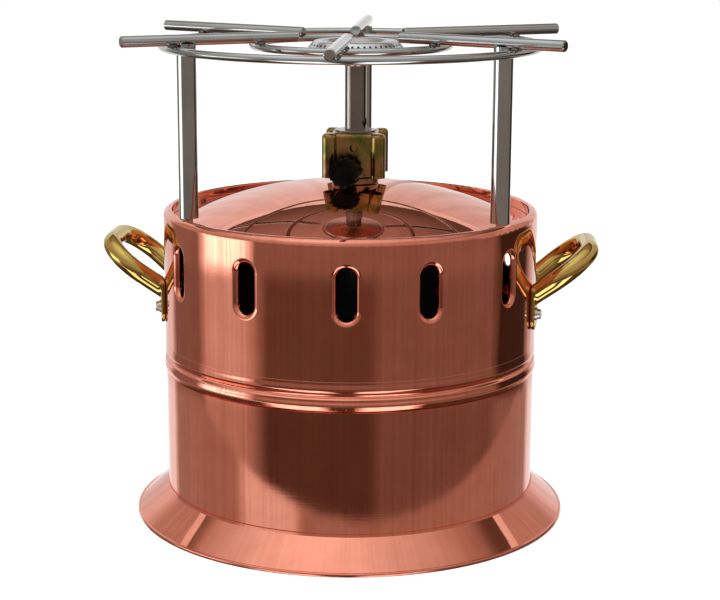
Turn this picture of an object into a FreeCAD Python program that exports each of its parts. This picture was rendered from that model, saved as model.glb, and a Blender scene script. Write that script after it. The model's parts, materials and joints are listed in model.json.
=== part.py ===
"""Table-top flambe burner: a copper drum on a flared foot, a gas burner on its domed cover, and a steel
pan support on three legs.

Frame: millimetres, +Z up, origin on the floor at the centre of the foot.
+X runs through the right-hand handle, and -Y is the side of the gas knob.
"""

import math
import os

import FreeCAD
import Part

V = FreeCAD.Vector
Z = V(0, 0, 1)
ORIGIN = V(0, 0, 0)

# ---- driving dimensions ----
SHEET = 1.0                 # copper sheet
BODY_R = 120.0              # outside of the upper shell
FOOT_R = 140.0              # outside of the flared foot
FOOT_TOP = 18.0             # where the flare meets the drum
DRUM_R = 119.6              # outside of the lower drum
DRUM_SHOULDER = 95.8        # top of the drum's full width
NECK_R = 118.6              # outside of the drum's neck, which slips into the shell
NECK_TOP = 102.4
SHELL_BOTTOM = 96.0
GROOVE_Z = 105.0            # rolled groove above the joint bead
GROOVE_DEPTH = 1.8
BEAD_BULGE = 0.5            # how far the joint bead stands out of the wall
RIM_TOP = 199.5             # crest of the rolled rim
LEDGE_TOP = 191.7           # the inner ledge that the cover sits on
DOME_APEX = 215.5
DOME_RADIUS = 265.0
VALVE_HOLE_R = 9.5

# ---- vent slots: punched in the flat sheet at one pitch, so the gap across the seam is narrower ----
SLOT_COUNT = 12
SLOT_PITCH = 30.5           # degrees
SLOT_FIRST = 3.4            # degrees from the front, towards +X
SLOT_Z = 166.3
SLOT_WIDTH = 11.2
SLOT_HEIGHT = 31.4
SLOT_LIP = 3.2              # outer radius of the drawn-in lip

# ---- handles ----
HANDLE_TILT = 38.0          # degrees above level
HANDLE_REACH = 153.2        # centre line's furthest x
HANDLE_FOOT_ANGLE = 12.3    # degrees each side of the handle's axis
HANDLE_HALF_WIDTH = 40.5
HANDLE_CORNER_R = 22.0
HANDLE_THICK = 12.4         # across the loop's plane
HANDLE_WIDE = 11.0          # in the loop's plane
HANDLE_ROOT_R = 115.0       # the centre line starts inside the shell and is cut off at its face
HANDLE_ROOT_Z = 144.2
RIVET_Z = 136.6
FOOT_PLATE = (14.0, 2.6, 126.2, 154.0)   # width, thickness, low z, high z
RIVET_HEAD_R = 4.1

# ---- pan support ----
LEG_CIRCLE_R = 110.5
LEG_R = 6.0
LEG_BOTTOM = 199.55         # the legs stand on the crest of the rim
LEG_ANGLES = (90, 210, 330)
SPIGOT_R = 2.5
SPIGOT_BOTTOM = 185.0
RING_WIRE_R = 2.5
OUTER_RING_R = 119.1
INNER_RING_R = 62.0
RING_Z = 302.4
ROD_R = 3.5
ROD_INNER = 37.0
ROD_OUTER = 152.0
ROD_Z = RING_Z + RING_WIRE_R + ROD_R
ROD_ANGLES = (30, 90, 150, 210, 270, 330)

# ---- gas valve and burner ----
BURNER_X = 3.0              # the burner stands a little to the right of the drum's axis
KNOB_ANGLE = 260.0
KNOB_Z = 224.6
KNOB_R = 9.4
KNOB_BACK = 22.0            # distance from the burner's axis
KNOB_FRONT = 31.0
KNOB_LOBES = 12
VALVE_R = 15.0
VALVE_WAIST_R = 13.6        # inside the cage
VALVE_TOP = 246.0
CAGE_TOP = 248.0
CAGE_BOTTOM = 220.0
CAGE_HALF = 15.4
CAGE_LOBE_R = 4.7
CAGE_SHEET = 1.2
CAGE_ROUND = 2.7            # rounding of the cage's top edge
TUBE_R = 6.9
TUBE_TOP = 291.0
AIR_HOLE_Z = 253.2
AIR_HOLE_R = 2.8
AIR_HOLE_ANGLE = 338.0
HEAD_R = 30.0
HEAD_BOTTOM = 290.0
CAP_TOP = 305.3
CAP_DISH = 300.0
PORT_COUNT = 48
PORT_R = 0.8

# ---- gas cartridge ----
CAN_R = 54.5
CAN_BOTTOM = 58.0
CAN_SHOULDER = 176.0
STEM_BOTTOM = 203.0


def polar(radius, degrees, z=0.0):
    """The point at that radius and angle about +Z."""
    a = math.radians(degrees)
    return V(radius * math.cos(a), radius * math.sin(a), z)


def outline(points):
    """A closed face in the XZ plane. A point is (x, z), or (x, z, mx, mz) for an arc through (mx, mz) to it."""
    edges = []
    last = V(points[0][0], 0, points[0][1])
    for p in list(points[1:]) + [points[0][:2]]:
        here = V(p[0], 0, p[1])
        if len(p) == 4:
            edges.append(Part.Arc(last, V(p[2], 0, p[3]), here).toShape())
        elif (here - last).Length > 1e-6:
            edges.append(Part.makeLine(last, here))
        last = here
    return Part.Face(Part.Wire(edges))


def turned(points):
    """A solid of revolution about +Z from an XZ outline."""
    return outline(points).revolve(ORIGIN, Z, 360)


def rod(start, end, radius):
    """A round bar between two points."""
    return Part.makeCylinder(radius, (end - start).Length, start, end - start)


def ring(radius, wire_radius, z):
    return Part.makeTorus(radius, wire_radius, V(0, 0, z), Z)


def around(shape, degrees):
    """A copy turned about +Z."""
    copy = shape.copy()
    copy.rotate(ORIGIN, Z, degrees)
    return copy


def hexagon(across_flats, height, base, axis):
    """A hexagonal bar from base along axis."""
    corner = across_flats / math.sqrt(3)
    points = [polar(corner, 60 * i) for i in range(7)]
    bar = Part.Face(Part.makePolygon(points)).extrude(V(0, 0, height))
    bar.Placement = FreeCAD.Placement(base, FreeCAD.Rotation(Z, axis))
    return bar


def obround(width, height, x_from, x_to):
    """A bar along +X whose section is an upright slot, centred on the slot height."""
    half, straight = width / 2, (height - width) / 2
    low, high = SLOT_Z - straight, SLOT_Z + straight
    a, b = V(x_from, -half, low), V(x_from, -half, high)
    c, d = V(x_from, half, high), V(x_from, half, low)
    wire = Part.Wire([
        Part.makeLine(a, b),
        Part.Arc(b, V(x_from, 0, high + half), c).toShape(),
        Part.makeLine(c, d),
        Part.Arc(d, V(x_from, 0, low - half), a).toShape(),
    ])
    return Part.Face(wire).extrude(V(x_to - x_from, 0, 0))


# ---- copper body ----
def foot_skirt():
    """Flared foot with a turned hem at the floor and a short collar round the drum."""
    collar_top = FOOT_TOP + 1.6
    return turned([
        (DRUM_R, collar_top),
        (DRUM_R + 0.9, collar_top),
        (DRUM_R + 0.9, FOOT_TOP),
        (FOOT_R - 1.6, 2.4),
        (FOOT_R, 1.2, FOOT_R - 0.3, 2.2),
        (FOOT_R - 0.8, 0, FOOT_R - 0.25, 0.3),
        (FOOT_R - 2.6, 0),
        (FOOT_R - 2.6, 1.6),
        (DRUM_R, FOOT_TOP - 0.9),
    ])


def lower_drum():
    """Lower wall with an inward flange at the floor and a neck that slips into the upper shell."""
    inside, neck_inside = DRUM_R - SHEET, NECK_R - SHEET
    return turned([
        (106.0, 2.0),
        (DRUM_R - 2, 2.0),
        (DRUM_R, 4.0, DRUM_R - 0.6, 2.6),
        (DRUM_R, DRUM_SHOULDER - 0.6),
        (NECK_R, DRUM_SHOULDER + 0.2),
        (NECK_R, NECK_TOP),
        (neck_inside, NECK_TOP),
        (neck_inside, DRUM_SHOULDER - 0.4),
        (inside, DRUM_SHOULDER - 1.2),
        (inside, 4.2),
        (inside - 1.2, 3.0, inside - 0.4, 3.4),
        (106.0, 3.0),
    ]).cut(base_screw_bores())


BASE_SCREW_ANGLES = (45, 135, 225, 315)
BASE_SCREW_CIRCLE = 110.0


def base_screw_bores():
    return Part.makeCompound([
        Part.makeCylinder(2.1, 6, polar(BASE_SCREW_CIRCLE, a, 1)) for a in BASE_SCREW_ANGLES
    ])


def base_plate():
    """Pressed steel floor plate with a raised centre and drain and air holes."""
    plate = turned([
        (0, 9.0), (84.0, 9.0), (90.0, 3.0), (116.5, 3.0), (116.5, 4.2), (90.5, 4.2), (84.5, 10.2), (0, 10.2),
    ])
    air = [Part.makeCylinder(6, 4, polar(55, 60 * i, 8)) for i in range(6)]
    return plate.cut(Part.makeCompound(air)).cut(base_screw_bores())


def base_screw(angle):
    at = polar(BASE_SCREW_CIRCLE, angle)
    head = Part.makeCylinder(3.6, 1.3, at + V(0, 0, 0.7)).cut(
        Part.makeBox(8, 0.9, 0.6, at + V(-4, -0.45, 0.7)))
    shank = Part.makeCylinder(2.0, 6.0, at + V(0, 0, 1.9))
    return head.fuse(shank).removeSplitter()


def base_nut(angle):
    at = polar(BASE_SCREW_CIRCLE, angle)
    return hexagon(7.0, 3.0, at + V(0, 0, 4.2), Z).cut(Part.makeCylinder(2.0, 4, at + V(0, 0, 4)))


def slotted_band(radius, width, height, lip, low, high):
    """A solid disc between two heights with a slot at every vent, each with a rounded mouth."""
    band = Part.makeCylinder(radius, high - low, V(0, 0, low))
    slot = obround(width, height, radius - 14, radius + 4)
    band = band.cut(Part.makeCompound([around(slot, slot_angle(i)) for i in range(SLOT_COUNT)]))
    mouths = []
    for edge in band.Edges:
        box = edge.BoundBox
        middle = edge.valueAt((edge.FirstParameter + edge.LastParameter) / 2)
        reach = math.hypot(middle.x, middle.y)
        if reach > radius - 1.5 and box.ZMin > low + 1 and box.ZMax < high - 1:
            mouths.append(edge)
    return band.makeFillet(lip, mouths)


def slot_angle(index):
    return 270 + SLOT_FIRST - SLOT_PITCH * index


def upper_shell():
    """Upper wall: joint bead and groove below, drawn-in vents, and a rolled rim that turns in to a ledge."""
    low, high = 138.0, 192.0
    inside = BODY_R - SHEET
    mouth_in = SLOT_LIP - SHEET
    skin = slotted_band(BODY_R, SLOT_WIDTH, SLOT_HEIGHT, SLOT_LIP, low, high)
    core = slotted_band(inside, SLOT_WIDTH + 2 * SHEET, SLOT_HEIGHT + 2 * SHEET, mouth_in, low, high)
    middle = skin.cut(core).cut(Part.makeCylinder(BODY_R - SLOT_LIP, high - low, V(0, 0, low)))
    groove_in = inside - GROOVE_DEPTH
    bottom = turned([
        (BODY_R - 0.7, SHELL_BOTTOM),
        (BODY_R + BEAD_BULGE, SHELL_BOTTOM + 2.6, BODY_R + BEAD_BULGE - 0.3, SHELL_BOTTOM + 0.8),
        (BODY_R, GROOVE_Z - 3.2, BODY_R + BEAD_BULGE - 0.1, SHELL_BOTTOM + 4.6),
        (BODY_R - GROOVE_DEPTH, GROOVE_Z - 0.4, BODY_R - 0.7, GROOVE_Z - 1.2),
        (BODY_R, GROOVE_Z + 4.0, BODY_R - 0.8, GROOVE_Z + 1.8),
        (BODY_R, low),
        (inside, low),
        (inside, GROOVE_Z + 3.8),
        (groove_in, GROOVE_Z - 0.2, inside - 0.9, GROOVE_Z + 1.9),
        (inside, GROOVE_Z - 2.4, inside - 0.8, GROOVE_Z - 1.2),
        (inside, SHELL_BOTTOM + 0.3),
        (inside + 0.2, SHELL_BOTTOM),
    ])
    crest, fold_in, fold_out = 115.5, 114.3, 115.3
    top = turned([
        (BODY_R, high),
        (BODY_R, 195.0),
        (crest, RIM_TOP, 118.68, 198.18),
        (fold_in, RIM_TOP - 1.2, 114.65, RIM_TOP - 0.35),
        (fold_in, LEDGE_TOP),
        (106.4, LEDGE_TOP),
        (106.4, LEDGE_TOP - SHEET),
        (fold_out, LEDGE_TOP - SHEET),
        (fold_out, RIM_TOP - 1.4),
        (inside, 195.0, 118.0, 197.4),
        (inside, high),
    ])
    shell = bottom.fuse([middle, top]).removeSplitter()
    sockets = [Part.makeCylinder(3.7, 4, polar(LEG_CIRCLE_R, a, LEDGE_TOP - 2)) for a in LEG_ANGLES]
    rivets = [rivet_bore(side, end) for side in (0, 180) for end in (-1, 1)]
    return shell.cut(Part.makeCompound(sockets + rivets))


def dome_height(radius, drop=0.0):
    """Height of the cover's outer face, or of the face that much below it."""
    return DOME_APEX - DOME_RADIUS + math.sqrt((DOME_RADIUS - drop) ** 2 - radius ** 2)


def dome_cover():
    """Domed copper cover on the shell's ledge, with the valve's hole in the middle."""
    edge, flange = 104.0, 114.0
    top = LEDGE_TOP + SHEET
    cover = turned([
        (0, DOME_APEX),
        (edge, dome_height(edge), 60.0, dome_height(60.0)),
        (107.0, top, 105.6, top + 0.45),
        (flange, top),
        (flange, LEDGE_TOP),
        (106.6, LEDGE_TOP),
        (103.6, dome_height(103.6, SHEET), 105.2, LEDGE_TOP + 0.35),
        (0, DOME_APEX - SHEET, 60.0, dome_height(60.0, SHEET)),
    ])
    holes = [Part.makeCylinder(VALVE_HOLE_R, 20, V(BURNER_X, 0, DOME_APEX - 10))]
    holes += [Part.makeCylinder(3.7, 4, polar(LEG_CIRCLE_R, a, LEDGE_TOP - 1)) for a in LEG_ANGLES]
    return cover.cut(Part.makeCompound(holes))


def leg_socket(angle):
    """Tubular rivet that holds the cover down on the ledge and takes a leg's spigot."""
    at = polar(LEG_CIRCLE_R, angle)
    top, under = LEDGE_TOP + SHEET, LEDGE_TOP - SHEET
    low = 182.0
    body = Part.makeCylinder(3.65, top - low, at + V(0, 0, low))
    collar = Part.makeCylinder(4.9, 1.2, at + V(0, 0, under - 1.2)).common(
        Part.makeCylinder(115.0, 3, V(0, 0, under - 2)))
    return body.fuse(collar).removeSplitter().cut(Part.makeCylinder(SPIGOT_R + 0.1, 20, at + V(0, 0, low - 1)))


# ---- handles ----
def rivet_axis(side, end):
    """Angle of a handle's rivet about +Z: side is 0 or 180, end is -1 or 1."""
    return side + end * HANDLE_FOOT_ANGLE


def rivet_bore(side, end):
    out = polar(1, rivet_axis(side, end))
    return Part.makeCylinder(2.05, 12, out * (BODY_R - 6) + V(0, 0, RIVET_Z), out)


def loop_wire(place, root_y, length):
    """Three straight runs joined by tangent corners, in the loop's own plane."""
    start, corner = V(0, -root_y, 0), V(length, -HANDLE_HALF_WIDTH, 0)
    side = (start - corner).normalize()
    half_angle = side.getAngle(V(0, 1, 0)) / 2
    inward = (side + V(0, 1, 0)).normalize()
    run = HANDLE_CORNER_R / math.tan(half_angle)
    centre = corner + inward * (HANDLE_CORNER_R / math.sin(half_angle))
    a, m, b = corner + side * run, centre - inward * HANDLE_CORNER_R, corner + V(0, run, 0)

    def other(p):
        return place(V(p.x, -p.y, 0))

    return Part.Wire([
        Part.makeLine(place(start), place(a)),
        Part.Arc(place(a), place(m), place(b)).toShape(),
        Part.makeLine(place(b), other(b)),
        Part.Arc(other(b), other(m), other(a)).toShape(),
        Part.makeLine(other(a), other(start)),
    ]), side * -1


def loop_bar():
    """Oval bar bent to the loop, with its ends cut to the shell."""
    tilt = math.radians(HANDLE_TILT)
    foot = polar(HANDLE_ROOT_R, HANDLE_FOOT_ANGLE)
    length = (HANDLE_REACH - foot.x) / math.cos(tilt)
    along = V(math.cos(tilt), 0, math.sin(tilt))
    base = V(foot.x, 0, HANDLE_ROOT_Z)

    def place(p):
        return base + along * p.x + V(0, p.y, 0)

    path, lead = loop_wire(place, foot.y, length)
    heading = along * lead.x + V(0, lead.y, 0)
    up = along.cross(V(0, 1, 0))
    across = heading.cross(up)
    start = place(V(0, -foot.y, 0))
    section = Part.Wire([Part.Ellipse(ORIGIN, HANDLE_THICK / 2, HANDLE_WIDE / 2).toShape()])
    section.Placement = FreeCAD.Placement(FreeCAD.Matrix(
        up.x, across.x, heading.x, start.x,
        up.y, across.y, heading.y, start.y,
        up.z, across.z, heading.z, start.z,
        0, 0, 0, 1))
    return path.makePipeShell([section], True, False, 0)


def foot_plate(angle):
    """Curved plate against the shell with a round lower end."""
    width, thick, low, high = FOOT_PLATE
    plate = Part.makeBox(14, width, high - low - width / 2, V(BODY_R - 8, -width / 2, low + width / 2))
    end = Part.makeCylinder(width / 2, 14, V(BODY_R - 8, 0, low + width / 2), V(1, 0, 0))
    return around(plate.fuse(end).removeSplitter(), angle).common(
        Part.makeCylinder(BODY_R + 0.1 + thick, 60, V(0, 0, 120)))


def handle(side):
    """Cast loop of oval bar, tilted up, whose two ends flatten into curved foot plates."""
    angles = (-HANDLE_FOOT_ANGLE, HANDLE_FOOT_ANGLE)
    loop = loop_bar().fuse([foot_plate(a) for a in angles])
    loop = loop.cut(Part.makeCylinder(BODY_R + 0.05, 80, V(0, 0, 115))).removeSplitter()
    bores = [Part.makeCylinder(2.05, 12, polar(BODY_R - 4, a, RIVET_Z), polar(1, a)) for a in angles]
    return around(loop.cut(Part.makeCompound(bores)), side)


def handle_rivet(side, end):
    """Collared stud through the foot plate and the shell, spread over a washer inside."""
    out = polar(1, rivet_axis(side, end))
    face = BODY_R + 0.1 + FOOT_PLATE[1]
    at = V(0, 0, RIVET_Z)
    shank = Part.makeCylinder(2.0, face - 116.4, out * 116.4 + at, out)
    collar = Part.makeCylinder(RIVET_HEAD_R, 1.1, out * face + at, out)
    stud = Part.makeCylinder(RIVET_HEAD_R - 0.8, 3.4, out * face + at, out)
    tip = max(stud.Edges, key=lambda e: e.CenterOfMass.dot(out))
    head = collar.fuse(stud.makeChamfer(0.5, [tip]))
    tail = Part.makeCylinder(3.2, 0.9, out * 116.4 + at, out)
    return shank.fuse([head, tail]).removeSplitter()


def rivet_washer(side, end):
    out = polar(1, rivet_axis(side, end))
    at = V(0, 0, RIVET_Z)
    disc = Part.makeCylinder(5.0, 2.4, out * 117.3 + at, out)
    disc = disc.common(Part.makeCylinder(BODY_R - SHEET - 0.05, 60, V(0, 0, 110)))
    return disc.cut(Part.makeCylinder(2.05, 6, out * 115 + at, out))


# ---- pan support ----
def support_rod(angle):
    bar = rod(polar(ROD_INNER, angle, ROD_Z), polar(ROD_OUTER, angle, ROD_Z), ROD_R)
    ends = [e for e in bar.Edges if isinstance(e.Curve, Part.Circle)]
    return bar.makeChamfer(0.7, ends)


def support_leg(angle):
    """Steel tube, coped at the top to the rod that crosses it."""
    at = polar(LEG_CIRCLE_R, angle)
    tube = Part.makeCylinder(LEG_R, ROD_Z - 2 - LEG_BOTTOM, at + V(0, 0, LEG_BOTTOM))
    tube = tube.cut(Part.makeCylinder(LEG_R - 1.2, 120, at + V(0, 0, LEG_BOTTOM - 1)))
    return tube.cut(rod(polar(ROD_INNER, angle, ROD_Z), polar(ROD_OUTER, angle, ROD_Z), ROD_R))


def leg_spigot(angle):
    """Plug pressed into the foot of a leg, with the pin that drops into the leg's socket."""
    at = polar(LEG_CIRCLE_R, angle)
    plug = Part.makeCylinder(LEG_R - 1.25, 14, at + V(0, 0, LEG_BOTTOM))
    pin = Part.makeCylinder(SPIGOT_R, LEG_BOTTOM - SPIGOT_BOTTOM, at + V(0, 0, SPIGOT_BOTTOM))
    tip = min(pin.Edges, key=lambda e: e.CenterOfMass.z)
    return plug.fuse(pin.makeChamfer(0.8, [tip])).removeSplitter()


# ---- gas valve ----
def knob_point(reach):
    return polar(reach, KNOB_ANGLE, KNOB_Z)


KNOB_AXIS = polar(1, KNOB_ANGLE)


def along_knob(radius, start, end):
    """A round bar on the knob's axis between two distances from the burner's axis."""
    return rod(knob_point(start), knob_point(end), radius)


def valve_body():
    """Brass valve: round body on the cover, spindle boss, tube boss above and threaded stem below."""
    base = DOME_APEX + 0.05
    spigot = 5.8
    body = turned([
        (0, STEM_BOTTOM),
        (9.3, STEM_BOTTOM),
        (9.3, base),
        (VALVE_R, base),
        (VALVE_R, CAGE_BOTTOM - 1.2),
        (VALVE_WAIST_R, CAGE_BOTTOM - 0.4),
        (VALVE_WAIST_R, 230.0),
        (12.0, 231.6),
        (12.0, VALVE_TOP),
        (spigot, VALVE_TOP),
        (spigot, 249.5),
        (0, 249.5),
    ])
    body = body.fuse(along_knob(5.6, 0, 19.0)).removeSplitter()
    cartridge_well = Part.makeCylinder(5.7, 9.5, V(0, 0, STEM_BOTTOM))
    gas_in = Part.makeCylinder(1.2, KNOB_Z - STEM_BOTTOM, V(0, 0, STEM_BOTTOM))
    seat = along_knob(0.9, 0, 2.0)
    chamber = along_knob(1.85, 1.0, 8.0)
    gas_up = rod(polar(5, KNOB_ANGLE, KNOB_Z), polar(5, KNOB_ANGLE, 241.0), 1.0)
    gas_across = rod(polar(5, KNOB_ANGLE, 240.4), V(0, 0, 240.4), 1.0)
    jet_thread = Part.makeCylinder(2.5, 10, V(0, 0, 240.0))
    spindle_bore = along_knob(3.3, 7.0, 20.0)
    for hole in (cartridge_well, gas_in, seat, chamber, gas_up, gas_across, jet_thread, spindle_bore):
        body = body.cut(hole)
    return body


def valve_locknut():
    """Hexagon nut that clamps the valve to the cover from below."""
    top = dome_height(14.0 + BURNER_X, SHEET) - 1.1
    return hexagon(24.0, 5.0, V(0, 0, top - 5), Z).cut(Part.makeCylinder(9.35, 8, V(0, 0, top - 6)))


def valve_washer():
    top = dome_height(14.0 + BURNER_X, SHEET)
    return Part.makeCylinder(14.0, 1.0, V(0, 0, top - 1.05)).cut(
        Part.makeCylinder(9.4, 2, V(0, 0, top - 1.5)))


def gland_nut():
    """Packing nut on the spindle boss."""
    nut = hexagon(10.0, 2.7, knob_point(19.05), KNOB_AXIS)
    return nut.cut(along_knob(3.1, 18, 24))


def spindle_seal():
    """O-ring in the gland."""
    return Part.makeTorus(2.98, 0.3, knob_point(17.6), KNOB_AXIS)


def spindle():
    """Turning spindle: round stem with a flat for the knob, bored at the inner end for the needle's tail."""
    stem = along_knob(2.6, 8.6, KNOB_BACK + 7.4)
    collar = along_knob(3.2, 8.6, 14.0)
    flat = Part.makeBox(6, 6, 10, V(1.9, -3, -2))
    flat.Placement = FreeCAD.Placement(knob_point(23.4), FreeCAD.Rotation(Z, KNOB_AXIS))
    return stem.fuse(collar).removeSplitter().cut(flat).cut(along_knob(1.6, 8.0, 13.0))


def valve_needle():
    """Needle carried in the spindle's bore, which closes the gas way with its cone."""
    tail = along_knob(1.58, 2.4, 11.4)
    cone = Part.makeCone(0.4, 1.58, 2.2, knob_point(0.2), KNOB_AXIS)
    return cone.fuse(tail).removeSplitter()


def control_knob():
    """Moulded knob with finger flutes and a shallow dished face."""
    length = KNOB_FRONT - KNOB_BACK
    body = Part.makeCylinder(KNOB_R, length)
    flutes = [Part.makeCylinder(1.9, length + 2, polar(KNOB_R + 0.9, 360 * i / KNOB_LOBES, -1))
              for i in range(KNOB_LOBES)]
    body = body.cut(Part.makeCompound(flutes))
    body = body.cut(Part.makeCylinder(6.0, 0.7, V(0, 0, length - 0.7)))
    body = body.cut(Part.makeCylinder(7.0, 3.0).cut(Part.makeCylinder(4.6, 3.0)))
    bore = Part.makeCylinder(2.65, 7.6)
    bore = bore.cut(Part.makeBox(6, 6, 6.2, V(1.95, -3, 1.4)))
    body = body.cut(bore)
    body.Placement = FreeCAD.Placement(knob_point(KNOB_BACK), FreeCAD.Rotation(Z, KNOB_AXIS))
    return body


def cage_section(half, lobe_r, low, high):
    """A square bar with a round rib on each corner."""
    bar = Part.makeBox(2 * half, 2 * half, high - low, V(-half, -half, low))
    lobes = [Part.makeCylinder(lobe_r, high - low, V(sx * CAGE_HALF, sy * CAGE_HALF, low))
             for sx in (-1, 1) for sy in (-1, 1)]
    return bar.fuse(lobes).removeSplitter()


def valve_cage():
    """Pressed steel cage over the valve: top plate, four walls and a hollow rib on each corner."""
    outer = cage_section(CAGE_HALF, CAGE_LOBE_R, CAGE_BOTTOM, CAGE_TOP)
    top_edges = [e for e in outer.Edges if e.BoundBox.ZMin > CAGE_TOP - 0.01]
    outer = outer.makeFillet(CAGE_ROUND, top_edges)
    inner = cage_section(CAGE_HALF - CAGE_SHEET, CAGE_LOBE_R - CAGE_SHEET, CAGE_BOTTOM - 1, CAGE_TOP - 1.4)
    inner_edges = [e for e in inner.Edges if e.BoundBox.ZMin > CAGE_TOP - 1.41]
    inner = inner.makeFillet(CAGE_ROUND - CAGE_SHEET, inner_edges)
    cage = outer.cut(inner)
    cage = cage.cut(Part.makeCylinder(6.1, 4, V(0, 0, CAGE_TOP - 3)))
    boss_way = along_knob(6.6, 12, 40)
    below = Part.makeBox(13.2, 40, 8, V(-6.6, -40, KNOB_Z - 8))
    below = around(below, KNOB_ANGLE - 270)
    skirt_gap = Part.makeBox(21.4, 60, 3.0, V(-10.7, -30, CAGE_BOTTOM - 1))
    cage = cage.cut(boss_way).cut(below).cut(skirt_gap).cut(around(skirt_gap, 90))
    sight_hole = Part.makeCylinder(2.6, 8, V(0, -CAGE_HALF + 3, 238.4), V(0, -1, 0))
    return cage.cut(sight_hole)


def cage_washer():
    """Washer on the cage's top plate, round the tube."""
    disc = Part.makeCylinder(13.2, 0.9, V(0, 0, CAGE_TOP + 0.02))
    rim = [e for e in disc.Edges if isinstance(e.Curve, Part.Circle) and e.BoundBox.ZMin > CAGE_TOP + 0.5]
    return disc.makeFillet(0.3, rim).cut(Part.makeCylinder(TUBE_R + 0.05, 3, V(0, 0, CAGE_TOP - 1)))


def gas_jet():
    """Brass injector screwed into the valve under the tube."""
    body = Part.makeCylinder(2.45, 4.85, V(0, 0, 244.7))
    head = hexagon(6.0, 1.6, V(0, 0, 249.55), Z)
    tip = Part.makeCone(2.4, 1.1, 2.2, V(0, 0, 251.15))
    return body.fuse([head, tip]).removeSplitter().cut(Part.makeCylinder(0.4, 12, V(0, 0, 243)))


def burner_tube():
    """Mixing tube with one cross-drilled air hole."""
    tube = Part.makeCylinder(TUBE_R, TUBE_TOP - CAGE_TOP - 0.05, V(0, 0, CAGE_TOP + 0.05))
    tube = tube.cut(Part.makeCylinder(TUBE_R - 1, 60, V(0, 0, CAGE_TOP - 1)))
    drill = rod(polar(-12, AIR_HOLE_ANGLE, AIR_HOLE_Z + 0.6), polar(12, AIR_HOLE_ANGLE, AIR_HOLE_Z + 0.6),
                AIR_HOLE_R)
    return tube.cut(drill)


def burner_head():
    """Pressed bowl that spreads the gas under the cap, with a socket on the tube and a flange on top."""
    return turned([
        (TUBE_R + 0.05, HEAD_BOTTOM - 0.6),
        (TUBE_R + 1.0, HEAD_BOTTOM - 0.6),
        (TUBE_R + 1.2, HEAD_BOTTOM),
        (HEAD_R - 4.0, HEAD_BOTTOM + 4.2),
        (HEAD_R - 1.6, HEAD_BOTTOM + 9.2, HEAD_R - 2.0, HEAD_BOTTOM + 6.0),
        (HEAD_R, HEAD_BOTTOM + 9.2),
        (HEAD_R, HEAD_BOTTOM + 10.0),
        (HEAD_R - 2.5, HEAD_BOTTOM + 10.0),
        (HEAD_R - 4.4, HEAD_BOTTOM + 5.3, HEAD_R - 2.9, HEAD_BOTTOM + 6.8),
        (TUBE_R + 0.05, HEAD_BOTTOM + 1.0),
    ])


def burner_cap():
    """Pressed lid with a raised rim, a dished middle and a ring of flame ports in the rim's outer slope."""
    rest, crest, wall = HEAD_BOTTOM + 10.05, 24.2, 1.1
    cap = turned([
        (0, CAP_DISH),
        (14.0, CAP_DISH),
        (21.5, CAP_TOP - 0.6),
        (26.8, CAP_TOP - 0.7, crest, CAP_TOP),
        (HEAD_R, rest + 1.2),
        (HEAD_R, rest),
        (HEAD_R - wall, rest),
        (HEAD_R - wall, rest + 0.8),
        (26.2, CAP_TOP - 1.6),
        (22.0, CAP_TOP - 1.7, crest, CAP_TOP - wall),
        (14.4, CAP_DISH - wall),
        (0, CAP_DISH - wall),
    ])
    port_z = rest + 2.5
    ports = [rod(polar(25, 360 * i / PORT_COUNT, port_z), polar(33, 360 * i / PORT_COUNT, port_z), PORT_R)
             for i in range(PORT_COUNT)]
    return cap.cut(Part.makeCompound(ports)).cut(Part.makeCylinder(2.1, 9, V(0, 0, CAP_DISH - 4)))


def cap_spider():
    """Bridge inside the bowl that the cap's screw holds on to."""
    top = CAP_DISH - 1.15
    hub = Part.makeCylinder(4.0, 5.0, V(0, 0, top - 5))
    arms = [rod(polar(0, a, top - 1.0), polar(HEAD_R - 3.0, a, top - 1.0), 0.9) for a in (0, 120, 240)]
    return hub.fuse(arms).removeSplitter().cut(Part.makeCylinder(1.7, 8, V(0, 0, top - 6)))


def cap_screw():
    head = Part.makeCylinder(3.4, 1.6, V(0, 0, CAP_DISH)).cut(
        Part.makeBox(8, 0.9, 0.8, V(-4, -0.45, CAP_DISH + 0.9)))
    return head.fuse(Part.makeCylinder(1.65, 5.5, V(0, 0, CAP_DISH - 5.5))).removeSplitter()


# ---- gas cartridge ----
def cartridge_can():
    """Drawn steel can with a raised bottom and sloping shoulder, open at the neck for the valve cup."""
    wall, low = 0.6, CAN_BOTTOM
    return turned([
        (0, low + 6.0),
        (44.0, low + 4.0),
        (48.5, low),
        (CAN_R - 2, low),
        (CAN_R, low + 2.0),
        (CAN_R, CAN_SHOULDER),
        (50.0, CAN_SHOULDER + 10),
        (40.0, CAN_SHOULDER + 14.5),
        (15.6, 194.0),
        (15.6, 196.0),
        (14.6, 196.0),
        (14.6, 193.5),
        (39.8, CAN_SHOULDER + 13.9),
        (49.6, CAN_SHOULDER + 9.5),
        (CAN_R - wall, CAN_SHOULDER - 0.1),
        (CAN_R - wall, low + 2.3),
        (CAN_R - 2.3, low + wall),
        (48.8, low + wall),
        (44.3, low + 4.6),
        (0, low + 6.6),
    ])


def cartridge_cup():
    """Valve cup crimped into the neck, with the threaded nose that screws into the valve's stem."""
    return turned([
        (1.3, 192.0), (13.0, 192.0), (14.5, 193.0), (14.5, 196.05), (16.0, 196.05), (16.4, 198.0, 16.6, 197.0),
        (14.6, 198.6), (13.6, 198.0), (12.0, 194.0), (7.0, 194.0), (5.5, 196.0), (5.5, 209.0), (4.8, 209.8),
        (1.3, 209.8),
    ])


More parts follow.
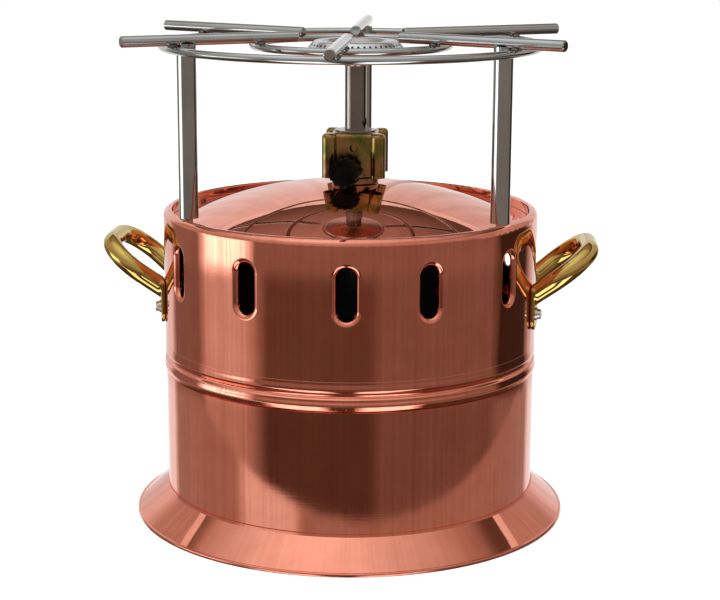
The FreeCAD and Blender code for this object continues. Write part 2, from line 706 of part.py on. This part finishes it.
def cartridge_valve():
    """Spring valve inside the nose: a hollow pin that the stem pushes open."""
    pin = Part.makeCylinder(1.15, 12.0, V(0, 0, 197.5))
    seat = Part.makeCylinder(3.2, 1.6, V(0, 0, 190.2))
    link = Part.makeCylinder(1.15, 6.5, V(0, 0, 191.5))
    return seat.fuse([link, pin]).removeSplitter()


def cartridge_seal():
    """Rubber ring between the cartridge's nose and the valve's stem."""
    return Part.makeCylinder(5.0, 2.0, V(0, 0, 210.3)).cut(Part.makeCylinder(2.6, 3, V(0, 0, 210)))


def group(pieces):
    return Part.makeCompound(list(pieces))


def model():
    ends = [(side, end) for side in (0, 180) for end in (-1, 1)]
    parts = {
        "foot_skirt": foot_skirt(),
        "lower_drum": lower_drum(),
        "base_plate": base_plate(),
        "base_screws": group(base_screw(a) for a in BASE_SCREW_ANGLES),
        "base_nuts": group(base_nut(a) for a in BASE_SCREW_ANGLES),
        "upper_shell": upper_shell(),
        "dome_cover": dome_cover(),
        "leg_sockets": group(leg_socket(a) for a in LEG_ANGLES),
        "handle_right": handle(0),
        "handle_left": handle(180),
        "handle_rivets": group(handle_rivet(s, e) for s, e in ends),
        "rivet_washers": group(rivet_washer(s, e) for s, e in ends),
        "support_ring_outer": ring(OUTER_RING_R, RING_WIRE_R, RING_Z),
        "support_ring_inner": ring(INNER_RING_R, RING_WIRE_R, RING_Z),
        "leg_spigots": group(leg_spigot(a) for a in LEG_ANGLES),
    }
    burner = {
        "valve_body": valve_body(),
        "valve_locknut": valve_locknut(),
        "valve_washer": valve_washer(),
        "gland_nut": gland_nut(),
        "spindle_seal": spindle_seal(),
        "spindle": spindle(),
        "valve_needle": valve_needle(),
        "control_knob": control_knob(),
        "valve_cage": valve_cage(),
        "cage_washer": cage_washer(),
        "gas_jet": gas_jet(),
        "burner_tube": burner_tube(),
        "burner_head": burner_head(),
        "burner_cap": burner_cap(),
        "cap_spider": cap_spider(),
        "cap_screw": cap_screw(),
        "cartridge_can": cartridge_can(),
        "cartridge_cup": cartridge_cup(),
        "cartridge_valve": cartridge_valve(),
        "cartridge_seal": cartridge_seal(),
    }
    for name, shape in burner.items():
        shape.translate(V(BURNER_X, 0, 0))
        parts[name] = shape
    for name, angle in zip(("rear", "left", "right"), LEG_ANGLES):
        parts["support_leg_" + name] = support_leg(angle)
    for number, angle in enumerate(ROD_ANGLES, 1):
        parts[f"support_rod_{number}"] = support_rod(angle)
    return parts


def main():
    os.makedirs("parts", exist_ok=True)
    for name, shape in model().items():
        solids = shape.Solids
        if not solids or not all(s.isValid() and s.Volume > 0 for s in solids):
            raise RuntimeError(f"{name} is not a valid solid")
        shape.exportStep(f"parts/{name}.step")
        print(f"{name}: {len(solids)} solid(s), {sum(s.Volume for s in solids) / 1000:.2f} cm3")


main()
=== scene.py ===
"""Look of the copper table-top burner: materials, welds, studio and camera."""
import json
import math

import bmesh
import bpy
from mathutils import Matrix, Vector


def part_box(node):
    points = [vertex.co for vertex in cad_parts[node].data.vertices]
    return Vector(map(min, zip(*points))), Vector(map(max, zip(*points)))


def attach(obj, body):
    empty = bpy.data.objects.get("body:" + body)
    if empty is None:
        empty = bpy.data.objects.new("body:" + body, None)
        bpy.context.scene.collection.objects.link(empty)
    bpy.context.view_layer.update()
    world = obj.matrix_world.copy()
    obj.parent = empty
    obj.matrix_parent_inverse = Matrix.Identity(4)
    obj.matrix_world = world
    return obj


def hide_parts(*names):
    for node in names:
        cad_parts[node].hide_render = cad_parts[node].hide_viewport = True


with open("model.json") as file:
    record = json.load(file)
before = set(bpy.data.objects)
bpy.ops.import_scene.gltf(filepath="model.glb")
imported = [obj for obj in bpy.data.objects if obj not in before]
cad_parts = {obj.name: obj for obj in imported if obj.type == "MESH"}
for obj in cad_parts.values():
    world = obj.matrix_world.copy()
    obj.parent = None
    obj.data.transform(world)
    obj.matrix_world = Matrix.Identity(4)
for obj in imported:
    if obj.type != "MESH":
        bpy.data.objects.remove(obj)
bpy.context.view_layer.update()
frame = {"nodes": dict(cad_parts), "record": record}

NODES = frame["nodes"]
MM = 0.001


# ---- material helpers ----
class Graph:
    """A node tree with short calls for the nodes that the materials below share."""

    def __init__(self, name):
        self.mat = bpy.data.materials.new(name)
        self.mat.use_nodes = True
        self.tree = self.mat.node_tree
        self.shader = self.tree.nodes["Principled BSDF"]
        self.coords = self.add("ShaderNodeTexCoord").outputs["Object"]

    def add(self, kind, **settings):
        node = self.tree.nodes.new(kind)
        for key, value in settings.items():
            setattr(node, key, value)
        return node

    def link(self, source, target):
        self.tree.links.new(source, target)

    def set(self, **inputs):
        """Set the shader's own inputs, with _ for each space in their names."""
        for key, value in inputs.items():
            self.shader.inputs[key.replace("_", " ")].default_value = value

    def stretched(self, scale, source=None):
        """The coordinates multiplied by scale on each axis."""
        node = self.add("ShaderNodeMapping")
        node.inputs["Scale"].default_value = scale
        self.link(source or self.coords, node.inputs["Vector"])
        return node.outputs["Vector"]

    def wrapped(self):
        """Coordinates as (angle about +Z, radius, height), in radians and metres."""
        split = self.add("ShaderNodeSeparateXYZ")
        self.link(self.coords, split.inputs["Vector"])
        angle = self.math("ARCTAN2", split.outputs["Y"], split.outputs["X"])
        xx = self.math("MULTIPLY", split.outputs["X"], split.outputs["X"])
        yy = self.math("MULTIPLY", split.outputs["Y"], split.outputs["Y"])
        radius = self.math("SQRT", self.math("ADD", xx, yy))
        join = self.add("ShaderNodeCombineXYZ")
        self.link(angle, join.inputs["X"])
        self.link(radius, join.inputs["Y"])
        self.link(split.outputs["Z"], join.inputs["Z"])
        return join.outputs["Vector"]

    def math(self, operation, a, b=None):
        node = self.add("ShaderNodeMath", operation=operation)
        for slot, value in enumerate((a, b)):
            if value is None:
                continue
            if hasattr(value, "links"):
                self.link(value, node.inputs[slot])
            else:
                node.inputs[slot].default_value = value
        return node.outputs["Value"]

    def distance(self, point):
        """How far the coordinates are from a point."""
        node = self.add("ShaderNodeVectorMath", operation="DISTANCE")
        self.link(self.coords, node.inputs[0])
        node.inputs[1].default_value = point
        return node.outputs["Value"]

    def noise(self, vector, scale, detail=3.0, rough=0.55):
        node = self.add("ShaderNodeTexNoise")
        node.inputs["Scale"].default_value = scale
        node.inputs["Detail"].default_value = detail
        node.inputs["Roughness"].default_value = rough
        self.link(vector, node.inputs["Vector"])
        return node.outputs["Fac"]

    def ramp(self, fac, stops):
        node = self.add("ShaderNodeValToRGB")
        ramp = node.color_ramp
        while len(ramp.elements) < len(stops):
            ramp.elements.new(0.5)
        for element, (position, colour) in zip(ramp.elements, stops):
            element.position = position
            element.color = (*colour, 1) if len(colour) == 3 else (colour[0],) * 3 + (1,)
        self.link(fac, node.inputs["Fac"])
        return node.outputs["Color"]

    def grey(self, fac, low, high):
        """fac mapped from 0..1 to low..high."""
        node = self.add("ShaderNodeMapRange")
        node.inputs["To Min"].default_value = low
        node.inputs["To Max"].default_value = high
        self.link(fac, node.inputs["Value"])
        return node.outputs["Result"]

    def mix(self, fac, a, b):
        node = self.add("ShaderNodeMix", data_type="RGBA")
        for name, output in (("Factor", fac), ("A", a), ("B", b)):
            self.link(output, node.inputs[name])
        return node.outputs["Result"]

    def fade(self, value, start, end):
        """0 before start, 1 after end, and a smooth step between."""
        node = self.add("ShaderNodeMapRange", interpolation_type="SMOOTHSTEP")
        node.inputs["From Min"].default_value = start
        node.inputs["From Max"].default_value = end
        self.link(value, node.inputs["Value"])
        return node.outputs["Result"]

    def bump(self, height, strength, distance, under=None):
        node = self.add("ShaderNodeBump")
        if under:
            self.link(under, node.inputs["Normal"])
        node.inputs["Strength"].default_value = strength
        node.inputs["Distance"].default_value = distance
        self.link(height, node.inputs["Height"])
        self.link(node.outputs["Normal"], self.shader.inputs["Normal"])
        return node.outputs["Normal"]

    def colour(self, output):
        self.link(output, self.shader.inputs["Base Color"])

    def roughness(self, output):
        self.link(output, self.shader.inputs["Roughness"])


def polished_metal(name, dark, light, rough, lines, line_scale, around=True):
    """Polished metal with faint polishing lines and a slow drift in tone."""
    g = Graph(name)
    g.set(Metallic=1.0)
    drift = g.noise(g.coords, 22, 4)
    g.colour(g.ramp(drift, [(0.3, dark), (0.7, light)]))
    base = g.wrapped() if around else g.coords
    fine = g.noise(g.stretched(line_scale, base), 1.0, 4, 0.7)
    haze = g.noise(g.coords, 60, 5)
    g.roughness(g.grey(g.math("MULTIPLY", fine, haze), rough * 0.7, rough * 2.2))
    g.bump(fine, lines, 0.00002)
    return g.mat


def copper(name, rough=0.032, waves=0.2, lines=0.10):
    """Polished sheet: hoop-wise polishing lines, upright streaks, and the slight waves of rolled sheet."""
    g = Graph(name)
    g.set(Metallic=1.0)
    base = g.wrapped()
    streaks = g.noise(g.stretched((34, 1, 2.5), base), 1.0, 4, 0.65)
    hoops = g.noise(g.stretched((3, 40, 1500), base), 1.0, 4, 0.7)
    haze = g.noise(g.coords, 55, 5)
    tone = g.math("MULTIPLY", g.math("ADD", streaks, haze), 0.5)
    g.colour(g.ramp(tone, [(0.35, (0.74, 0.255, 0.165)), (0.65, (0.86, 0.33, 0.225))]))
    uneven = g.math("MULTIPLY", g.math("MULTIPLY", streaks, hoops), 2.0)
    g.roughness(g.grey(uneven, rough * 0.5, rough * 2.0))
    sheet = g.bump(g.noise(g.stretched((5, 1, 11), base), 1.0, 2), waves, 0.0004)
    g.bump(g.math("ADD", hoops, streaks), lines, 0.00002, sheet)
    return g.mat


def brass(name):
    dark, light = (0.50, 0.35, 0.085), (0.68, 0.50, 0.16)
    return polished_metal(name, dark, light, 0.045, 0.10, (260, 260, 260), around=False)


def machined_brass(name):
    return polished_metal(name, (0.26, 0.15, 0.07), (0.42, 0.26, 0.12), 0.2, 0.3, (3, 300, 900))


def steel(name, dark, light, rough, scale=(700, 700, 60)):
    return polished_metal(name, dark, light, rough, 0.2, scale, around=False)


KNOB_PLACE = sum(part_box("control_knob"), Vector()) / 2


def zinc_yellow(name):
    """Yellow-passivated zinc: olive and gold with pink tints, with painted shade round the knob."""
    g = Graph(name)
    g.set(Metallic=1.0)
    cloud = g.noise(g.coords, 95, 3, 0.6)
    plating = g.ramp(cloud, [
        (0.28, (0.12, 0.16, 0.045)),
        (0.42, (0.24, 0.20, 0.05)),
        (0.54, (0.38, 0.25, 0.09)),
        (0.64, (0.45, 0.21, 0.13)),
        (0.74, (0.23, 0.24, 0.08)),
    ])
    # Painted shade round the knob: within about 10 mm of the knob's middle the plating gives way to a
    # mottled near-black brown, which fades out by about 19 mm with a ragged edge.
    ragged = g.math("ADD", g.distance(KNOB_PLACE), g.grey(g.noise(g.coords, 160, 4), -0.008, 0.008))
    shade_mottle = g.noise(g.coords, 300, 3)
    painted_shade = g.ramp(shade_mottle, [(0.35, (0.018, 0.014, 0.010)), (0.7, (0.09, 0.055, 0.03))])
    g.colour(g.mix(g.fade(ragged, 0.010, 0.019), painted_shade, plating))
    fine = g.noise(g.coords, 900, 4, 0.7)
    g.roughness(g.grey(fine, 0.10, 0.26))
    g.bump(fine, 0.15, 0.00003)
    return g.mat


def moulded_plastic(name):
    g = Graph(name)
    grain = g.noise(g.coords, 1500, 3, 0.6)
    smear = g.noise(g.coords, 120, 4)
    g.colour(g.ramp(smear, [(0.3, (0.0012, 0.0012, 0.0012)), (0.75, (0.004, 0.004, 0.004))]))
    g.roughness(g.grey(smear, 0.22, 0.5))
    g.set(Specular_IOR_Level=0.05)
    g.bump(grain, 0.25, 0.00004)
    return g.mat


def rubber(name):
    g = Graph(name)
    grain = g.noise(g.coords, 1800, 3, 0.6)
    g.colour(g.ramp(grain, [(0.3, (0.012, 0.012, 0.012)), (0.7, (0.03, 0.03, 0.03))]))
    g.roughness(g.grey(grain, 0.6, 0.85))
    g.bump(grain, 0.4, 0.00005)
    return g.mat


def enamel(name):
    """Gloss paint with a faint orange-peel surface and scuffs on a blue can."""
    g = Graph(name)
    g.set(Coat_Weight=0.6)
    scuff = g.noise(g.stretched((1, 1, 6)), 70, 6, 0.7)
    g.colour(g.ramp(scuff, [(0.35, (0.010, 0.016, 0.024)), (0.7, (0.022, 0.032, 0.045))]))
    g.roughness(g.grey(scuff, 0.25, 0.45))
    g.bump(g.noise(g.coords, 420, 2), 0.15, 0.0001)
    return g.mat


def galvanised(name):
    g = Graph(name)
    g.set(Metallic=1.0)
    flakes = g.add("ShaderNodeTexVoronoi")
    flakes.inputs["Scale"].default_value = 130
    g.link(g.coords, flakes.inputs["Vector"])
    tone = g.noise(flakes.outputs["Position"], 400, 1)
    g.colour(g.ramp(tone, [(0.3, (0.36, 0.37, 0.38)), (0.7, (0.56, 0.57, 0.58))]))
    g.roughness(g.grey(tone, 0.3, 0.5))
    g.bump(g.noise(g.coords, 500, 3), 0.1, 0.00005)
    return g.mat


FINISHES = {
    "copper_sheet": copper("copper_sheet"),
    "handle_brass": brass("handle_brass"),
    "valve_brass": machined_brass("valve_brass"),
    "stainless": steel("stainless", (0.38, 0.42, 0.41), (0.50, 0.54, 0.53), 0.07),
    "tube_steel": steel("tube_steel", (0.20, 0.19, 0.165), (0.32, 0.30, 0.26), 0.14, (300, 300, 900)),
    "head_steel": steel("head_steel", (0.56, 0.60, 0.60), (0.70, 0.73, 0.73), 0.26),
    "fastener_steel": steel("fastener_steel", (0.60, 0.58, 0.54), (0.74, 0.71, 0.67), 0.16),
    "zinc_yellow_steel": zinc_yellow("zinc_yellow_steel"),
    "floor_steel": galvanised("floor_steel"),
    "can_paint": enamel("can_paint"),
    "seal_rubber": rubber("seal_rubber"),
    "knob_plastic": moulded_plastic("knob_plastic"),
}


def dress(obj, slot):
    obj.data.materials.clear()
    obj.data.materials.append(FINISHES[slot])


for part in frame["record"]["subparts"]:
    dress(NODES[part["node"]], part["material_slot"])

# The cover is smoother than the drum, and the washer on the cage is as dull as the tube above it.
NODES["dome_cover"].data.materials[0] = copper("mirror_copper", rough=0.02, waves=0.06, lines=0.02)
NODES["cage_washer"].data.materials[0] = FINISHES["tube_steel"]


# ---- making objects ----
def place(name, data):
    obj = bpy.data.objects.new(name, data)
    bpy.context.scene.collection.objects.link(obj)
    return obj


def finished_mesh(name, bm, material):
    mesh = bpy.data.meshes.new(name)
    bm.to_mesh(mesh)
    bm.free()
    mesh.materials.append(material)
    return mesh


# ---- softened castings ----
CASTING_VOXEL = 0.7 * MM
CASTING_PASSES = 9


def soften_casting(node):
    """A copy of a cast piece with its inside corners rounded as a mould rounds them."""
    cad = NODES[node]
    skin = place(node + "_casting", cad.data.copy())
    skin.matrix_world = cad.matrix_world.copy()
    remesh = skin.modifiers.new("skin", "REMESH")
    remesh.mode = "VOXEL"
    remesh.voxel_size = CASTING_VOXEL
    remesh.use_smooth_shade = True
    smooth = skin.modifiers.new("fillets", "SMOOTH")
    smooth.factor = 0.5
    smooth.iterations = CASTING_PASSES
    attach(skin, "housing")
    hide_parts(node)


for side in ("left", "right"):
    soften_casting("handle_" + side)


# ---- rolled joint, in millimetres ----
BODY_R = 120.0              # outside of the drum's sheet, as part.py has it
SHELL_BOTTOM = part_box("upper_shell")[0].z / MM
CURL_HEIGHT = 0.9           # the bead's rounded lower edge
CURL_DEPTH = 0.75
BEAD_HALF = 3.3
BEAD_BULGE = 0.5
GROOVE_Z = SHELL_BOTTOM + 9
GROOVE_DEPTH = 1.65
GROOVE_BELOW = 2.2          # the groove's half-width under its centre, and over it
GROOVE_ABOVE = 3.7
SKIN = 0.26                 # how far the ring stands off the sheet, to cover the CAD facets
SKIN_END = 0.02             # and at the ring's top, where it runs into the sheet
SKIN_TOP = SHELL_BOTTOM + 12
RING_TOP = SHELL_BOTTOM + 18
RING_WALL = 0.4
RING_BEND = 3.0             # the inside bends this far over and under the groove's centre
CURL_STEPS = 10
RING_STEPS = 96
RING_SEGMENTS = 360


def hump(z, centre, half):
    """1 at the centre, falling smoothly to 0 at half the width to either side."""
    return math.cos(math.pi / 2 * min(abs(z - centre) / half, 1.0)) ** 2


def joint_radius(z):
    """Outside of the bead and of the groove above it."""
    skin = SKIN_END + (SKIN - SKIN_END) * hump(max(z, SKIN_TOP), SKIN_TOP, RING_TOP - SKIN_TOP)
    curl = min(max(SHELL_BOTTOM + CURL_HEIGHT - z, 0.0) / CURL_HEIGHT, 1.0)
    groove = GROOVE_DEPTH * hump(z, GROOVE_Z, GROOVE_BELOW if z < GROOVE_Z else GROOVE_ABOVE)
    bead = BEAD_BULGE * hump(z, SHELL_BOTTOM + BEAD_HALF, BEAD_HALF)
    return BODY_R + skin + bead - groove - CURL_DEPTH * (1 - math.sqrt(1 - curl * curl))


def joint_section():
    """Points (radius, height) up the outside and down the inside, and how many are on the outside."""
    curl_top = SHELL_BOTTOM + CURL_HEIGHT
    heights = [curl_top - CURL_HEIGHT * math.cos(math.pi / 2 * i / CURL_STEPS) for i in range(CURL_STEPS)]
    heights += [curl_top + (RING_TOP - curl_top) * i / RING_STEPS for i in range(RING_STEPS + 1)]
    inside = (heights[-1], GROOVE_Z + RING_BEND, GROOVE_Z, GROOVE_Z - RING_BEND, heights[0])
    section = [(joint_radius(z), z) for z in heights]
    section += [(joint_radius(z) - RING_WALL, z) for z in inside]
    return section, len(heights)


def joint_bead():
    """The bead and groove as one finely divided ring over the CAD sheet, closed on the inside."""
    section, outside = joint_section()
    bm = bmesh.new()
    rings = []
    for i in range(RING_SEGMENTS):
        a = math.tau * i / RING_SEGMENTS
        along = Vector((math.cos(a), math.sin(a), 0)) * MM
        rings.append([bm.verts.new(r * along + Vector((0, 0, z * MM))) for r, z in section])
    for i, this in enumerate(rings):
        after = rings[(i + 1) % RING_SEGMENTS]
        for k in range(len(section)):
            n = (k + 1) % len(section)
            bm.faces.new((this[k], after[k], after[n], this[n])).smooth = k < outside - 1
    ring = place("joint_bead", finished_mesh("joint_bead", bm, FINISHES["copper_sheet"]))
    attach(ring, "housing")


joint_bead()


# ---- weld beads of the pan support ----
ROD_COUNT = 6
FIRST_ROD = 30              # degrees from +X, as for the legs
LEG_ANGLES = (90, 210, 330)
BESIDE_ROD = 2.3 * MM
INSIDE_RING = 2.2 * MM      # how far a leg's bead is inside the outer ring's middle
BEAD_SINK = 0.1 * MM        # how far a crossing's beads are below the top of the rings
LEG_BEAD_DROP = 2.6 * MM    # how far a leg's bead is below those
CROSSING_BEAD = Vector((2.6, 1.8, 1.5)) * MM
LEG_BEAD = Vector((1.6, 3.4, 1.4)) * MM


def blob(bm, centre, size, seed):
    """A small lumpy bead of weld metal, turned to face outwards."""
    made = bmesh.ops.create_icosphere(bm, subdivisions=3, radius=1.0)["verts"]
    for v in made:
        x, y, z = v.co
        wave = math.sin(5 * x + seed) * math.sin(4 * y + 2 * seed) * math.sin(6 * z + 3 * seed)
        v.co = (1 + 0.12 * wave) * Vector((x * size.x, y * size.y, z * size.z))
    turn = Matrix.Rotation(math.atan2(centre[1], centre[0]), 4, "Z")
    bmesh.ops.transform(bm, matrix=Matrix.Translation(centre) @ turn, verts=made)


def weld_beads():
    """Beads on both sides of each rod where it crosses the two rings, and one at the top of each leg."""
    ring_low, ring_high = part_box("support_ring_outer")
    inner_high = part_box("support_ring_inner")[1]
    wire = (ring_high.z - ring_low.z) / 2
    radii = (ring_high.x - wire, inner_high.x - wire)
    joint_z = ring_high.z - BEAD_SINK
    bm = bmesh.new()
    for i in range(ROD_COUNT):
        angle = math.radians(FIRST_ROD + 360 / ROD_COUNT * i)
        for k, radius in enumerate(radii):
            for side in (-1, 1):
                x = radius * math.cos(angle) - side * BESIDE_ROD * math.sin(angle)
                y = radius * math.sin(angle) + side * BESIDE_ROD * math.cos(angle)
                blob(bm, (x, y, joint_z), CROSSING_BEAD, i + 7 * k + side)
    for degrees in LEG_ANGLES:
        angle = math.radians(degrees)
        reach = radii[0] - INSIDE_RING
        centre = (reach * math.cos(angle), reach * math.sin(angle), joint_z - LEG_BEAD_DROP)
        blob(bm, centre, LEG_BEAD, degrees)
    for face in bm.faces:
        face.smooth = True
    metal = steel("weld_metal", (0.10, 0.08, 0.06), (0.26, 0.23, 0.19), 0.2, (500, 500, 500))
    beads = place("weld_beads", finished_mesh("weld_beads", bm, metal))
    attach(beads, "pan_support")


weld_beads()


# ---- studio, in metres ----
FLOOR_RADIUS = 6.0
DISC_SEGMENTS = 96


def stage_object(name, mesh):
    obj = place(name, mesh)
    return obj


def disc_mesh(name, radius, material):
    bm = bmesh.new()
    bmesh.ops.create_circle(bm, cap_ends=True, radius=radius, segments=DISC_SEGMENTS)
    return finished_mesh(name, bm, material)


def floor_material():
    g = Graph("studio_floor")
    soft = g.noise(g.coords, 3, 4)
    g.colour(g.ramp(soft, [(0.2, (0.86, 0.86, 0.86)), (0.8, (0.90, 0.90, 0.90))]))
    g.roughness(g.grey(soft, 0.6, 0.75))
    g.set(Emission_Color=(1, 1, 1, 1), Emission_Strength=0.16)
    return g.mat


def studio_floor():
    """Pale floor, which the polished metal doesn't mirror."""
    floor = stage_object("studio_floor", disc_mesh("studio_floor", FLOOR_RADIUS, floor_material()))
    floor.visible_glossy = False


ROOM_RADIUS = 2.0
ROOM_DEPTH = 2.6
ROOM_MIDDLE_Z = 0.1
CEILING_Z = 1.42
GROUND_Z = -1.19

PANEL_EDGE = 8              # degrees over which a panel fades into the plain wall beside it
FULL_RAMP = 2.0             # the brightness that 1.0 in a colour ramp stands for
GLOW = 4.0                  # strength of the light that the surround gives off

# What stands round the set that the metal mirrors, as (from, to) in degrees from the front towards +X.
OPEN_LEFT = (-180, -135)
WINDOW = (-90, -60)
SUNLIT_FLOOR = (-60, -30)
CAMERA_SIDE = (-45, 15)
DOORWAY = (105, 135)
OPEN_RIGHT = (150, 180)
MAT_LEFT = (-45, -15)
MAT_RIGHT = (15, 45)

# Rings of the surround, lowest first: the plain wall's brightness, then that of each thing in it.
GROUND = (0.1, [(MAT_LEFT, 1.7), (MAT_RIGHT, 1.7)])
SKIRTING = (0.4, [(OPEN_LEFT, 1.0), (SUNLIT_FLOOR, 0.9), (OPEN_RIGHT, 1.0)])
LOWER_WALL = (0.2, [
    (OPEN_LEFT, 0.6), (WINDOW, 0.5), (CAMERA_SIDE, 0.1), (DOORWAY, 0.3), (OPEN_RIGHT, 0.9),
])
UPPER_WALL = (0.25, [
    (OPEN_LEFT, 0.9), (WINDOW, 0.7), (CAMERA_SIDE, 0.15), (DOORWAY, 0.05), (OPEN_RIGHT, 0.9),
])
WINDOW_WALL = (0.3, [(OPEN_LEFT, 0.8), (WINDOW, 1.8), (DOORWAY, 0.05), (OPEN_RIGHT, 0.9)])
FRIEZE = (0.55, [(OPEN_LEFT, 0.9), (OPEN_RIGHT, 0.8)])

# Heights over which each ring gives way to the one above it.
SKIRTING_START = (-0.90, -0.72)
UPPER_WALL_START = (-0.46, -0.43)
WINDOW_WALL_START = (-0.235, -0.20)
FRIEZE_START = (0.15, 0.45)

# The lower wall starts along a curve instead, lowest at CURVE_TURN.
CURVE_LOW_Z = -0.65
CURVE_TURN = math.radians(15)
CURVE_RISE = 0.05           # per square radian
CURVE_EDGE = (0.0, 0.014)


def strip(g, turn, ring):
    """One ring as a colour ramp round a turn. Things close together fade straight into each other."""
    plain, things = ring
    stops = [(-180, plain)]
    for (start, end), value in things:
        if start - stops[-1][0] > 2 * PANEL_EDGE:
            stops += [(stops[-1][0] + PANEL_EDGE, plain), (start - PANEL_EDGE, plain)]
        stops += [(start, value), (end, value)]
    if stops[-1][0] < 180 - PANEL_EDGE:
        stops += [(stops[-1][0] + PANEL_EDGE, plain)]
    return g.ramp(turn, [(a / 360 + 0.5, (v / FULL_RAMP,)) for a, v in stops])


def lit(g, level):
    """Light of that level, warmer where it is dimmer, as the surround of a copper piece is."""
    tint = g.ramp(level, [
        (0.0, (0.0, 0.0, 0.0)),
        (0.08, (0.04, 0.027, 0.021)),
        (0.25, (0.13, 0.105, 0.095)),
        (0.5, (0.25, 0.25, 0.255)),
        (0.8, (0.42, 0.42, 0.44)),
        (1.0, (1.0, 1.0, 1.0)),
    ])
    glow = g.add("ShaderNodeEmission")
    glow.inputs["Strength"].default_value = GLOW
    g.link(tint, glow.inputs["Color"])
    g.link(glow.outputs["Emission"], g.tree.nodes["Material Output"].inputs["Surface"])


def facing(g):
    """Direction about the set's axis in radians from the front, and height."""
    split = g.add("ShaderNodeSeparateXYZ")
    g.link(g.coords, split.inputs["Vector"])
    forward = g.math("MULTIPLY", split.outputs["Y"], -1.0)
    return g.math("ARCTAN2", split.outputs["X"], forward), split.outputs["Z"]


def as_turn(g, angle):
    """An angle as a fraction of a turn, half a turn being the front."""
    return g.math("ADD", g.math("DIVIDE", angle, math.tau), 0.5)


def room_material():
    """Glowing surround whose brightness changes with direction and height."""
    g = Graph("studio_room")
    angle, height = facing(g)
    turn = as_turn(g, angle)
    off = g.math("SUBTRACT", angle, CURVE_TURN)
    rise = g.math("MULTIPLY", g.math("MULTIPLY", off, off), CURVE_RISE)
    over_curve = g.math("SUBTRACT", height, g.math("ADD", rise, CURVE_LOW_Z))
    level = strip(g, turn, GROUND)
    level = g.mix(g.fade(height, *SKIRTING_START), level, strip(g, turn, SKIRTING))
    level = g.mix(g.fade(over_curve, *CURVE_EDGE), level, strip(g, turn, LOWER_WALL))
    level = g.mix(g.fade(height, *UPPER_WALL_START), level, strip(g, turn, UPPER_WALL))
    level = g.mix(g.fade(height, *WINDOW_WALL_START), level, strip(g, turn, WINDOW_WALL))
    level = g.mix(g.fade(height, *FRIEZE_START), level, strip(g, turn, FRIEZE))
    streak = g.noise(g.stretched((14, 14, 0.5)), 1.0, 3)
    lit(g, g.math("MULTIPLY", level, g.grey(streak, 0.8, 1.2)))
    return g.mat


def only_reflected(obj):
    obj.visible_camera = False
    obj.visible_diffuse = False
    obj.visible_shadow = False
    obj.visible_transmission = False


def reflected_disc(name, radius, z, material):
    disc = disc_mesh(name, radius, material)
    disc.transform(Matrix.Translation((0, 0, z)))
    only_reflected(stage_object(name, disc))


def studio_ground():
    """Ground far below, which only reflections see."""
    g = Graph("studio_ground")
    lit(g, strip(g, as_turn(g, facing(g)[0]), GROUND))
    reflected_disc("studio_ground", ROOM_RADIUS, GROUND_Z, g.mat)


def studio_room():
    """Open cylinder round the set that only reflections see."""
    bm = bmesh.new()
    bmesh.ops.create_cone(
        bm, cap_ends=False, radius1=ROOM_RADIUS, radius2=ROOM_RADIUS, depth=ROOM_DEPTH, segments=128)
    mesh = finished_mesh("studio_room", bm, room_material())
    mesh.transform(Matrix.Translation((0, 0, ROOM_MIDDLE_Z)))
    only_reflected(stage_object("studio_room", mesh))


CEILING_SPOT = (-0.3, -0.3, CEILING_Z)
CEILING_PEAK = 0.66
CEILING_FALL = 0.27         # brightness lost per metre from the spot
CEILING_LEAST = 0.07
BACK_START = (0.3, 0.6)     # the Y over which the ceiling dims towards the back
BACK_LOSS = 0.4


def studio_ceiling():
    """Ceiling that only reflections see: bright over the front, dimmer outwards and at the back."""
    g = Graph("studio_ceiling")
    split = g.add("ShaderNodeSeparateXYZ")
    g.link(g.coords, split.inputs["Vector"])
    lost = g.math("MULTIPLY", g.distance(CEILING_SPOT), CEILING_FALL)
    glow = g.math("SUBTRACT", CEILING_PEAK, lost)
    behind = g.math("MULTIPLY", g.fade(split.outputs["Y"], *BACK_START), BACK_LOSS)
    dim = g.math("SUBTRACT", 1.0, behind)
    lit(g, g.math("MAXIMUM", g.math("MULTIPLY", glow, dim), CEILING_LEAST))
    reflected_disc("studio_ceiling", 0.92 * ROOM_RADIUS, CEILING_Z, g.mat)


LIGHT_TARGET = Vector((0, 0, 0.15))


def area_light(name, spot, size, power):
    """A soft lamp aimed at the object, which the metal doesn't mirror."""
    data = bpy.data.lights.new(name, "AREA")
    data.shape = "RECTANGLE"
    data.size, data.size_y = size
    data.energy = power
    light = place(name, data)
    light.location = spot
    light.rotation_euler = (LIGHT_TARGET - Vector(spot)).to_track_quat("-Z", "Y").to_euler()
    light.visible_glossy = False


def studio_world():
    world = bpy.data.worlds.new("studio")
    bpy.context.scene.world = world
    world.use_nodes = True
    background = world.node_tree.nodes["Background"]
    background.inputs["Color"].default_value = (1.0, 1.0, 1.0, 1)
    background.inputs["Strength"].default_value = 1.0


def camera():
    """Camera at the photograph's place, on a long lens."""
    data = bpy.data.cameras.new("camera")
    data.lens = 88.77
    data.sensor_width = 36.0
    data.shift_x = 0.0118
    data.clip_start, data.clip_end = 0.05, 30.0
    cam = place("camera", data)
    cam.location = (0.0885, -1.125, 0.3894)
    cam.rotation_euler = (math.radians(77.4), math.radians(-0.2), math.radians(4.5))
    bpy.context.scene.camera = cam
    bpy.context.scene.view_settings.view_transform = "Standard"


studio_floor()
studio_room()
studio_ceiling()
studio_ground()
studio_world()
area_light("key", (-1.3, -1.2, 1.7), (1.2, 1.2), 26)
area_light("fill", (1.4, -1.0, 1.3), (1.4, 1.4), 12)
area_light("top", (0.0, 0.2, 2.0), (1.6, 1.6), 22)
camera()
